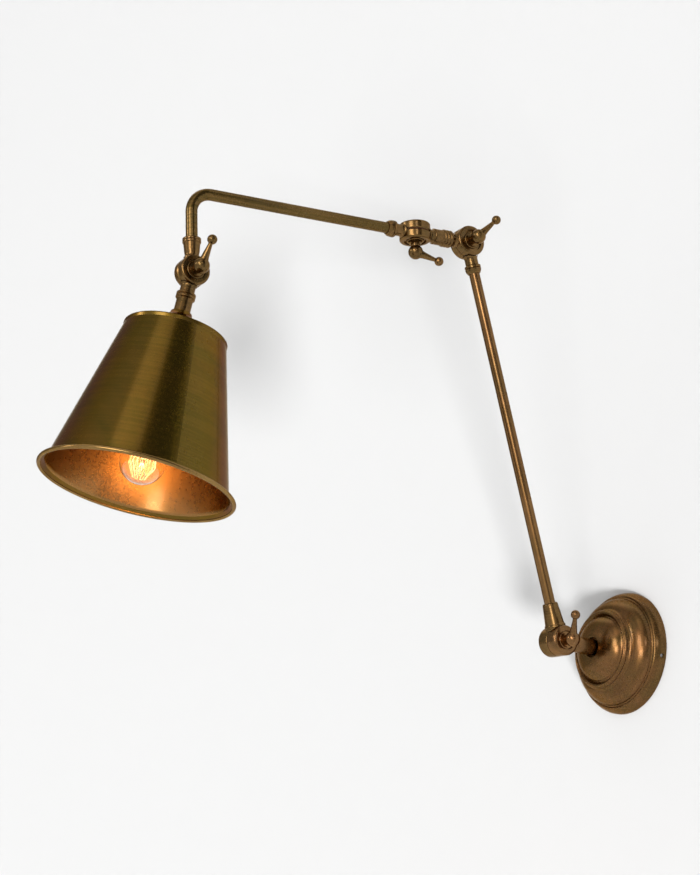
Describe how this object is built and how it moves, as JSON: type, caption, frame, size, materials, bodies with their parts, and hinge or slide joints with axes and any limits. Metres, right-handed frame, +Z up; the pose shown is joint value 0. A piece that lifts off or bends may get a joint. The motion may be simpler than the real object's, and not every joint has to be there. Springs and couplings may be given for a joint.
{
  "type": "articulating wall lamp",
  "caption": "Swing-arm wall lamp in aged brass: round stepped canopy, knuckle-jointed arms locked by ball-and-lever nuts, conical metal shade, globe bulb.",
  "frame": {"origin": "centre of the wall plate's back face, on the wall", "axes": "+Z up, +Y into the wall, the lamp reaches towards -Y; the lever nuts are on +X"},
  "size_m": [0.1908, 0.692, 0.5181],
  "materials": {
    "aged_brass_spun": "satin, spun lines, aged",
    "aged_brass_canopy": "satin, aged",
    "aged_brass_turned": "satin, turned, aged",
    "aged_brass_tube": "satin, drawn tube, aged",
    "bright_brass": "bright",
    "plated_steel": "zinc plated",
    "fibre": "matte",
    "black_plastic": "matte",
    "glazed_porcelain": "glazed",
    "clear_glass": "clear",
    "tungsten_wire": "drawn wire"
  },
  "bodies": {
    "wall_mount": {"wall_plate": "plated_steel", "inlet_grommet": "black_plastic", "canopy": "aged_brass_canopy", "canopy_grip_screws": "plated_steel", "terminal_block": "black_plastic", "terminal_screws": "plated_steel", "earth_screw": "plated_steel", "stem_knuckle": "aged_brass_turned", "stem_nut": "plated_steel", "stem_lock_washer": "plated_steel", "base_clamp_bolt": "plated_steel", "base_friction_washer": "fibre", "base_step_washer": "aged_brass_turned"},
    "base_lever": {"base_lever_nut": "aged_brass_turned"},
    "lower_arm": {"arm_socket_knuckle": "aged_brass_turned", "lower_arm_tube": "aged_brass_tube", "elbow_lower_knuckle": "aged_brass_turned", "elbow_clamp_bolt": "plated_steel", "elbow_friction_washer": "fibre"},
    "elbow_lever": {"elbow_lever_nut": "aged_brass_turned"},
    "link": {"elbow_link_knuckle": "aged_brass_turned", "elbow_step_washer": "aged_brass_turned", "link_coupler": "aged_brass_turned", "swing_link_knuckle": "aged_brass_turned", "swing_clamp_bolt": "plated_steel", "swing_friction_washer": "fibre"},
    "swing_lever": {"swing_lever_nut": "aged_brass_turned"},
    "upper_arm": {"swing_arm_knuckle": "aged_brass_turned", "swing_step_washer": "aged_brass_turned", "upper_arm_tube": "aged_brass_tube", "head_arm_knuckle": "aged_brass_turned", "head_clamp_bolt": "plated_steel", "head_friction_washer": "fibre", "head_step_washer": "aged_brass_turned"},
    "head_lever": {"head_lever_nut": "aged_brass_turned"},
    "lamp_head": {"head_shade_knuckle": "aged_brass_turned", "shade_cap": "aged_brass_spun", "shade_cone": "aged_brass_spun", "shade_rim_bead": "aged_brass_tube", "shade_lock_nut": "aged_brass_tube", "holder_tube": "aged_brass_tube", "holder_dome": "aged_brass_tube", "holder_shell": "aged_brass_tube", "holder_ring": "aged_brass_tube", "holder_insulator": "glazed_porcelain", "holder_screw_shell": "bright_brass", "holder_contact": "bright_brass", "bulb_glass": "clear_glass", "bulb_cap": "bright_brass", "bulb_contact": "bright_brass", "bulb_stem": "clear_glass", "bulb_filament": "tungsten_wire", "bulb_supports": "tungsten_wire"}
  },
  "joints": [
    {"name": "base_tilt", "type": "hinge", "parent": "wall_mount", "child": "lower_arm", "pos_m": [0, -0.0936, 0], "axis": [1, 0, 0], "range_deg": [-19, 125]},
    {"name": "elbow_tilt", "type": "hinge", "parent": "lower_arm", "child": "link", "pos_m": [0, -0.24266, 0.42565], "axis": [1, 0, 0], "range_deg": [-150, 42]},
    {"name": "arm_swing", "type": "hinge", "parent": "link", "child": "upper_arm", "pos_m": [0, -0.3118, 0.4168], "axis": [0, 0.1271, -0.9919], "range_deg": [-120, 120]},
    {"name": "shade_tilt", "type": "hinge", "parent": "upper_arm", "child": "lamp_head", "pos_m": [0, -0.56666, 0.29795], "axis": [1, 0, 0], "range_deg": [-98, 85]},
    {"name": "base_lever_turn", "type": "hinge", "parent": "wall_mount", "child": "base_lever", "pos_m": [0, -0.0936, 0], "axis": [1, 0, 0], "range_deg": [0, 270]},
    {"name": "elbow_lever_turn", "type": "hinge", "parent": "lower_arm", "child": "elbow_lever", "pos_m": [0, -0.24266, 0.42565], "axis": [1, 0, 0], "range_deg": [0, 270]},
    {"name": "swing_lever_turn", "type": "hinge", "parent": "link", "child": "swing_lever", "pos_m": [0, -0.3118, 0.4168], "axis": [0, 0.1271, -0.9919], "range_deg": [0, 270]},
    {"name": "head_lever_turn", "type": "hinge", "parent": "upper_arm", "child": "head_lever", "pos_m": [0, -0.56666, 0.29795], "axis": [1, 0, 0], "range_deg": [0, 270]}
  ]
}
